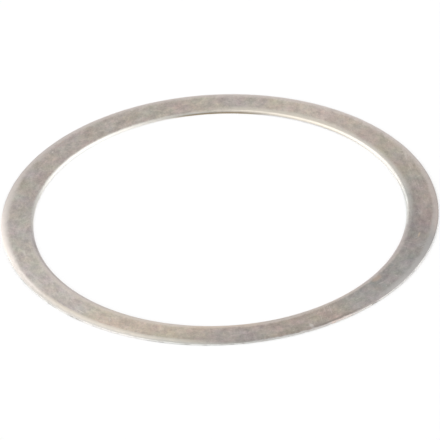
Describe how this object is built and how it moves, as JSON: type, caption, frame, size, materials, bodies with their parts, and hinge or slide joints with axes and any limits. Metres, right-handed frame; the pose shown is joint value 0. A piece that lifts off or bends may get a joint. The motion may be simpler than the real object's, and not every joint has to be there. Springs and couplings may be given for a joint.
{
  "type": "shim washer",
  "caption": "Thin flat ring washer stamped from steel sheet, with both top edges rolled over and a plain round bore.",
  "frame": {"origin": "centre of the bore, on the plane of the bottom face", "axes": "+Z along the bore axis, from the bottom face towards the top face with the rolled edges; the ring is round, so X and Y have no feature to follow"},
  "size_m": [0.054, 0.054, 0.0003],
  "materials": {
    "steel": "satin, with a fine mottled grain and light handling marks"
  },
  "bodies": {
    "root": {"washer": "steel"}
  },
  "joints": []
}
